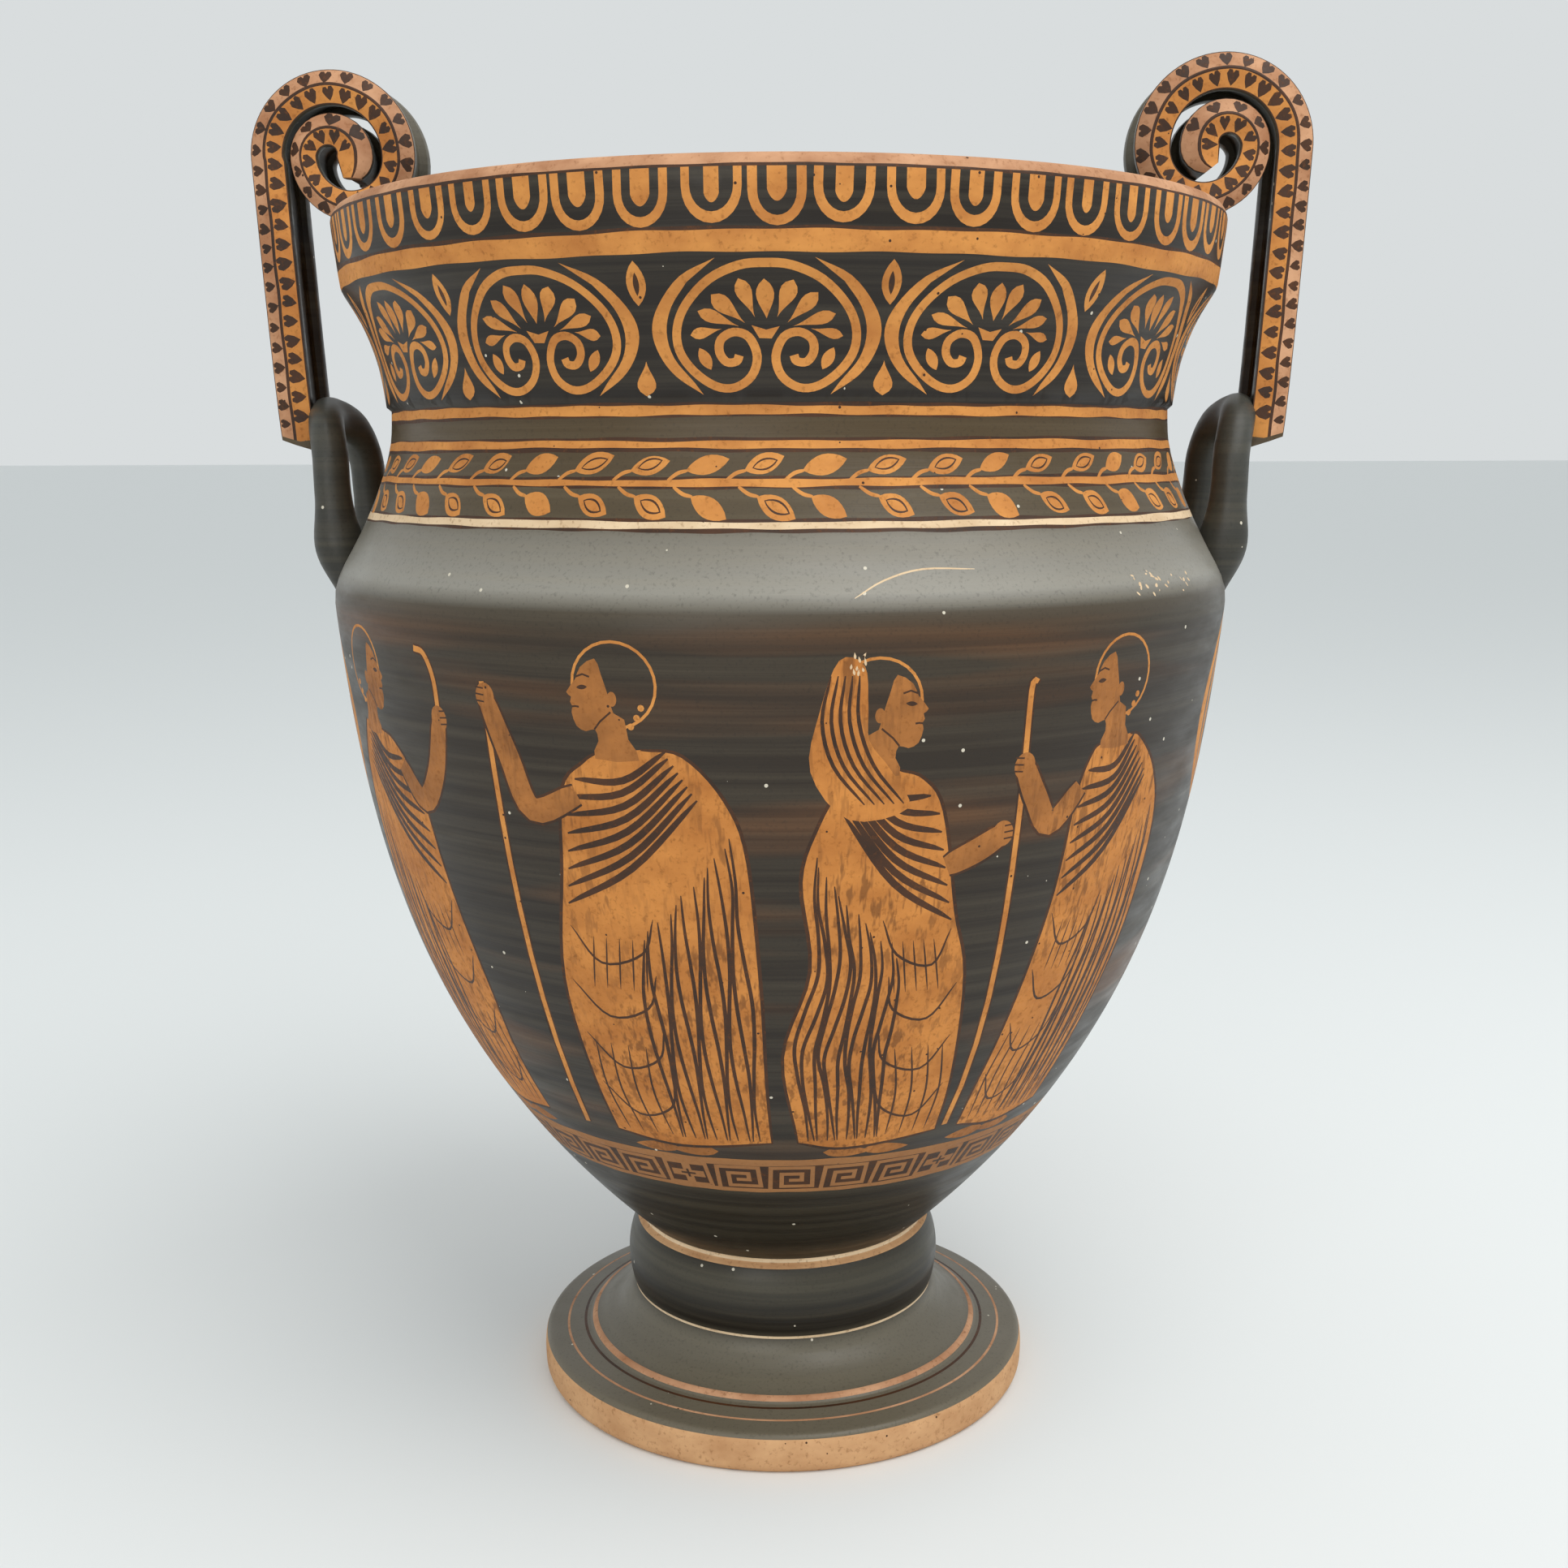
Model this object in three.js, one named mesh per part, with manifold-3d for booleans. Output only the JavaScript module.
// A volute krater: a wide wheel-thrown mixing bowl on a hollow pedestal foot, with a pair of
// handles. Each handle is a loop that springs from the shoulder and carries a flanged strap, and
// the strap rises past the lip and rolls up into a volute that rests on the rim.
// The parts are thrown or pulled on their own, luted together with slip and fired as one piece,
// so the whole vase is one solid.
//
// Millimetres, +Z up, origin at the centre of the foot's underside, handles along +X and -X.

import * as THREE from "three";
import { mergeVertices } from "three/addons/utils/BufferGeometryUtils.js";
import Module from "manifold-3d";

const wasm = await Module();
wasm.setup();

// ---- driving dimensions -------------------------------------------------------------------

const SIDES = 52; // sides of everything that was turned on the wheel
const WALL = 6.5; // thickness of the thrown wall

const FOOT_RADIUS = 62.9;
const FOOT_EDGE_HEIGHT = 9.6; // the plate of the foot, at its edge
const FOOT_STEP = { radius: 49.6, height: 12.7 }; // raised ring on the plate
const STEM = { radius: 38.9, height: 22.3 }; // where the flare of the foot meets the roll
const ROLL = { radius: 40.4, height: 33 }; // the fat roll between foot and bowl
const JOINT = { radius: 36.2, height: 41.5 }; // where the bowl was luted onto the foot
const SHOULDER = { radius: 107.9, height: 205 }; // the edge between bowl and shoulder
const NECK = { radius: 92.9, height: 237 }; // the foot of the neck
const NECK_LEDGE_HEIGHT = 245.5; // a slight ledge under the concave part of the neck
const LIP_FOOT = { radius: 103.1, height: 272.6 };
const LIP = { radius: 104.9, height: 290.4, width: 8 };
const FLOOR_HEIGHT = 51; // inside floor of the bowl
const FOOT_HOLLOW = { radius: 52.5, height: 42 };

const STRAP_WIDTH = 20; // across both flanges
const STRAP_THICKNESS = 8.2;
const FLANGE_WIDTH = 4.6;
const FLANGE_RIDGE = 1.6; // how far the flange's edges fall back from its ridge
const WEB_RECESS = 1.9; // how deep the web lies below the flanges
const STRAP_FOOT = { outer: 120.2, height: 239, drop: 2.6 }; // free lower end, cut at a slant
const STRAP_OUTSIDE = 124.3; // outermost x of the handle, at the level of the volute's centre

// A volute is made of half turns whose centres lie at one level, so each runs smoothly into the
// next. Sizes are shares of the radius of the first half turn.
const VOLUTE_TURNS = [
  { outer: 1, inner: [0.6, 0.6], steps: 11 },
  { outer: 0.76, inner: [0.36, 0.435], steps: 10 },
  { outer: 0.505, inner: [0.18, 0.065], steps: 8 },
];
const TIP_RADIUS = 0.3; // the last turn, which stays unfinished
const TIP_STEP = 17; // degrees
const VOLUTE_SINK = 0.6; // how deep the lowest turn is pressed into the rim, in mm
// How far round the tip runs, in degrees, and where its inner edge ends from the turn's centre.
const RIGHT_VOLUTE = { radius: 20.8, tip: 88, tipInner: [0.13, -0.19] };
const LEFT_VOLUTE = { radius: 19.5, tip: 60, tipInner: [0.07, -0.25] };

// Half of the loop's centre line, from a root inside the wall up to the crown.
const LOOP_LINE = [
  [100.6, -18.5, 202.5],
  [104.6, -18.3, 214],
  [105.9, -17.7, 226],
  [106.5, -16.4, 235],
  [108.4, -11.5, 242],
  [110.8, 0, 244.6],
];
const LOOP_HALF_THICKNESS = 4.2; // in and out
const LOOP_HALF_WIDTH = 4.9; // across the leg
const LOOP_SMEAR = { extra: 1.6, height: 214, reach: 7 }; // where a leg is smeared onto the wall
const LOOP_STEPS = 18;
const LOOP_SIDES = 10;

// ---- the turned vessel --------------------------------------------------------------------

const v2 = (radius, height) => new THREE.Vector2(radius, height);
const at = (place) => v2(place.radius, place.height);

/** Points of a smooth curve through the given points, without the last one. */
function smooth(points, steps) {
  return new THREE.SplineCurve(points).getPoints(steps).slice(0, -1);
}

/** Points on the outside of the bowl, whose wall swings in ever faster below the shoulder. */
function bowlProfile(fromHeight, toHeight, steps) {
  const points = [];
  for (let i = 0; i <= steps; i++) {
    const height = THREE.MathUtils.lerp(fromHeight, toHeight, i / steps);
    const drop = height - SHOULDER.height;
    const radius = SHOULDER.radius + drop * (0.0953 + drop * (-2.66e-4 + drop * 1.117e-5));
    points.push(v2(radius, height));
  }
  return points;
}

function footHollowProfile() {
  return [
    v2(0, FOOT_HOLLOW.height),
    v2(18, FOOT_HOLLOW.height - 1.5),
    v2(29, FOOT_HOLLOW.height - 9),
    v2(31, STEM.height),
    v2(38, FOOT_EDGE_HEIGHT),
    v2(FOOT_HOLLOW.radius, 0),
  ];
}

function footProfile() {
  const flare = [v2(FOOT_STEP.radius - 1.2, FOOT_STEP.height), v2(43.4, 15.4), v2(40.1, 19)];
  return [
    v2(FOOT_RADIUS - 1.4, 0),
    v2(FOOT_RADIUS - 0.2, 1.6),
    v2(FOOT_RADIUS, FOOT_EDGE_HEIGHT * 0.6),
    v2(FOOT_RADIUS - 0.3, FOOT_EDGE_HEIGHT - 1),
    v2(FOOT_RADIUS - 1.2, FOOT_EDGE_HEIGHT + 0.2),
    v2(FOOT_STEP.radius + 1.1, FOOT_STEP.height - 1.3),
    v2(FOOT_STEP.radius + 0.4, FOOT_STEP.height),
    ...smooth([...flare, at(STEM)], 4),
    at(STEM),
  ];
}

function rollProfile() {
  return [
    v2(STEM.radius + 0.9, STEM.height + 3),
    v2(ROLL.radius - 0.2, ROLL.height - 4),
    v2(ROLL.radius, ROLL.height),
    v2(ROLL.radius - 0.9, ROLL.height + 4),
    v2(ROLL.radius - 2.4, ROLL.height + 7),
    at(JOINT),
  ];
}

function shoulderAndNeckProfile() {
  const hollow = [v2(NECK.radius + 1.1, 248), v2(95.2, 256), v2(98.4, 265), at(LIP_FOOT)];
  return [
    v2(98.1, 221.8),
    at(NECK),
    v2(NECK.radius - 0.2, NECK_LEDGE_HEIGHT),
    v2(NECK.radius + 0.9, NECK_LEDGE_HEIGHT + 0.6),
    ...smooth(hollow, 4),
    at(LIP_FOOT),
  ];
}

/** The lip's face and its flat top, as far as the axis. */
function lipProfile() {
  return [
    v2(LIP.radius, LIP.height - 2.6),
    v2(LIP.radius - 1.6, LIP.height),
    v2(0, LIP.height),
  ];
}

/** The space inside, from the mouth down to the axis: the outside moved in by the wall. */
function insideProfile() {
  const moveIn = (p) => v2(p.x - WALL - (SHOULDER.height - p.y) * 0.018, p.y);
  return [
    v2(0, LIP.height),
    v2(LIP.radius - LIP.width + 1, LIP.height),
    v2(LIP.radius - LIP.width, LIP.height - 1.4),
    v2(LIP_FOOT.radius - WALL - 0.6, LIP_FOOT.height + 2),
    v2(NECK.radius - WALL + 2, 255),
    v2(NECK.radius - WALL, NECK_LEDGE_HEIGHT - 2),
    v2(NECK.radius - WALL - 0.2, NECK.height - 1),
    v2(SHOULDER.radius - WALL - 0.8, SHOULDER.height - 3),
    ...bowlProfile(180, 70, 5).map(moveIn),
    v2(40, FLOOR_HEIGHT + 6.5),
    v2(22, FLOOR_HEIGHT + 1.4),
    v2(0, FLOOR_HEIGHT),
  ];
}

function outsideProfile() {
  return [
    ...footHollowProfile(),
    ...footProfile(),
    ...rollProfile(),
    ...bowlProfile(JOINT.height + 0.4, SHOULDER.height, 10),
    ...shoulderAndNeckProfile(),
    ...lipProfile(),
  ];
}

/** A profile turned about the vertical axis. */
function turned(profile) {
  return new THREE.LatheGeometry(profile, SIDES).rotateX(Math.PI / 2);
}

// ---- the handles --------------------------------------------------------------------------

/** Outer and inner edge of the upright part of a strap, in the plane y = 0. */
function uprightStations(centreHeight) {
  return [0, 0.25, 0.5, 0.75].map((share) => {
    const outside = THREE.MathUtils.lerp(STRAP_FOOT.outer, STRAP_OUTSIDE, Math.pow(share, 0.8));
    const height = THREE.MathUtils.lerp(STRAP_FOOT.height, centreHeight, share);
    const drop = share === 0 ? STRAP_FOOT.drop : 0;
    return { outer: v2(outside, height), inner: v2(outside - STRAP_THICKNESS, height - drop) };
  });
}

/** The same for a volute: its whole half turns, and then the tip of one more. */
function voluteStations({ radius, tip, tipInner }, centreHeight) {
  const stations = [];
  const around = (centre, reach, angle) =>
    v2(centre + reach * Math.cos(angle), centreHeight + reach * Math.sin(angle));
  let edge = STRAP_OUTSIDE; // where the band's outer edge stands at the level of the centres
  VOLUTE_TURNS.forEach(({ outer, inner, steps }, turn) => {
    const side = turn % 2 ? -1 : 1; // upper half turns run inwards, lower ones outwards
    const centre = edge - side * outer * radius;
    for (let i = 0; i < steps; i++) {
      const angle = (i / steps) * Math.PI;
      const innerShare = THREE.MathUtils.lerp(inner[0], inner[1], i / steps);
      stations.push({
        outer: around(centre, side * outer * radius, angle),
        inner: around(centre, side * innerShare * radius, angle),
      });
    }
    edge = centre - side * outer * radius;
  });
  const last = VOLUTE_TURNS[VOLUTE_TURNS.length - 1];
  const centre = edge + TIP_RADIUS * radius;
  const innerStart = v2(edge + (last.outer - last.inner[1]) * radius, centreHeight);
  const innerEnd = v2(centre + tipInner[0] * radius, centreHeight + tipInner[1] * radius);
  const steps = Math.round(tip / TIP_STEP);
  for (let i = 0; i <= steps; i++) {
    const angle = THREE.MathUtils.degToRad(tip) * (i / steps);
    stations.push({
      outer: around(centre, -TIP_RADIUS * radius, angle),
      inner: innerStart.clone().lerp(innerEnd, i / steps),
    });
  }
  return stations;
}

/** Half of the strap's section, as [depth below the outer edge, distance off the middle]. */
function flangeSection(thickness) {
  const half = STRAP_WIDTH / 2;
  const recess = Math.min(WEB_RECESS, thickness / 4);
  const web = half - FLANGE_WIDTH;
  return [
    [recess, web],
    [0, web + 0.7],
    [0, half - FLANGE_RIDGE],
    [thickness * 0.45, half],
    [thickness, half - FLANGE_RIDGE * 0.6],
    [thickness, web + 0.7],
    [thickness - recess, web],
  ];
}

/** A closed surface through rings of points, each ring with as many points as the first. */
function loft(rings) {
  const count = rings[0].length;
  const positions = rings.flat().flatMap((p) => [p.x, p.y, p.z]);
  const indices = [];
  for (let r = 0; r + 1 < rings.length; r++) {
    for (let i = 0; i < count; i++) {
      const a = r * count + i;
      const b = r * count + ((i + 1) % count);
      indices.push(a, b, a + count, b, b + count, a + count);
    }
  }
  const cap = (first, flip) => {
    for (let i = 1; i + 1 < count; i++) {
      indices.push(first, first + (flip ? i : i + 1), first + (flip ? i + 1 : i));
    }
  };
  cap(0, false);
  cap((rings.length - 1) * count, true);
  const geometry = new THREE.BufferGeometry();
  geometry.setAttribute("position", new THREE.Float32BufferAttribute(positions, 3));
  geometry.setIndex(indices);
  return geometry;
}

/** A flanged strap with its volute, for the handle on the +X side. */
function strapGeometry(volute) {
  const centreHeight = LIP.height - VOLUTE_SINK + VOLUTE_TURNS[1].outer * volute.radius;
  const stations = [...uprightStations(centreHeight), ...voluteStations(volute, centreHeight)];
  const rings = stations.map(({ outer, inner }) => {
    const thickness = outer.distanceTo(inner);
    const inward = inner.clone().sub(outer).divideScalar(thickness);
    const section = flangeSection(thickness);
    const mirrored = section.map(([depth, off]) => [depth, -off]).reverse();
    return [...section, ...mirrored].map(
      ([depth, off]) => new THREE.Vector3(outer.x + inward.x * depth, off, outer.y + inward.y * depth),
    );
  });
  return loft(rings);
}

/** The loop that springs from the shoulder under a strap, for the +X side. */
function loopGeometry() {
  const half = LOOP_LINE.map(([x, y, z]) => new THREE.Vector3(x, y, z));
  const otherHalf = half.slice(0, -1).reverse().map((p) => new THREE.Vector3(p.x, -p.y, p.z));
  const line = new THREE.CatmullRomCurve3([...half, ...otherHalf]);
  const rings = [];
  for (let step = 0; step <= LOOP_STEPS; step++) {
    const here = line.getPointAt(step / LOOP_STEPS);
    const along = line.getTangentAt(step / LOOP_STEPS);
    const across = new THREE.Vector3(1, 0, 0).cross(along).normalize();
    const out = across.clone().cross(along);
    const off = (here.z - LOOP_SMEAR.height) / LOOP_SMEAR.reach;
    const extra = LOOP_SMEAR.extra * Math.exp(-off * off);
    const ring = [];
    for (let i = 0; i < LOOP_SIDES; i++) {
      const angle = (i / LOOP_SIDES) * 2 * Math.PI;
      const point = here.clone();
      point.addScaledVector(out, (LOOP_HALF_THICKNESS + extra) * Math.cos(angle));
      point.addScaledVector(across, (LOOP_HALF_WIDTH + extra) * Math.sin(angle));
      ring.push(point);
    }
    rings.push(ring);
  }
  return loft(rings);
}

// ---- joining ------------------------------------------------------------------------------

function solid(geometry) {
  const bare = geometry.clone();
  bare.deleteAttribute("normal");
  bare.deleteAttribute("uv");
  const merged = mergeVertices(bare, 1e-4);
  return new wasm.Manifold(
    new wasm.Mesh({
      numProp: 3,
      vertProperties: new Float32Array(merged.attributes.position.array),
      triVerts: new Uint32Array(merged.index.array),
    }),
  );
}

function geometryOf(manifold) {
  const mesh = manifold.getMesh();
  const geometry = new THREE.BufferGeometry();
  geometry.setAttribute("position", new THREE.Float32BufferAttribute(mesh.vertProperties, 3));
  geometry.setIndex(new THREE.Uint32BufferAttribute(mesh.triVerts, 1));
  const faceted = geometry.toNonIndexed();
  faceted.computeVertexNormals();
  return faceted;
}

/** A handle, turned about the vertical axis from the +X side to its own. */
function handle(volute, turn) {
  const strap = solid(strapGeometry(volute).rotateZ(turn));
  return strap.add(solid(loopGeometry().rotateZ(turn)));
}

function kraterGeometry() {
  const handles = handle(RIGHT_VOLUTE, 0).add(handle(LEFT_VOLUTE, Math.PI));
  const filled = solid(turned(outsideProfile())).add(handles);
  return geometryOf(filled.subtract(solid(turned(insideProfile().reverse()))));
}

const glazedClay = new THREE.MeshStandardMaterial({
  color: 0x2b2723,
  roughness: 0.42,
  metalness: 0,
});
const krater = new THREE.Mesh(kraterGeometry(), glazedClay);
krater.name = "krater";

const group = new THREE.Group();
group.add(krater);
export default group;
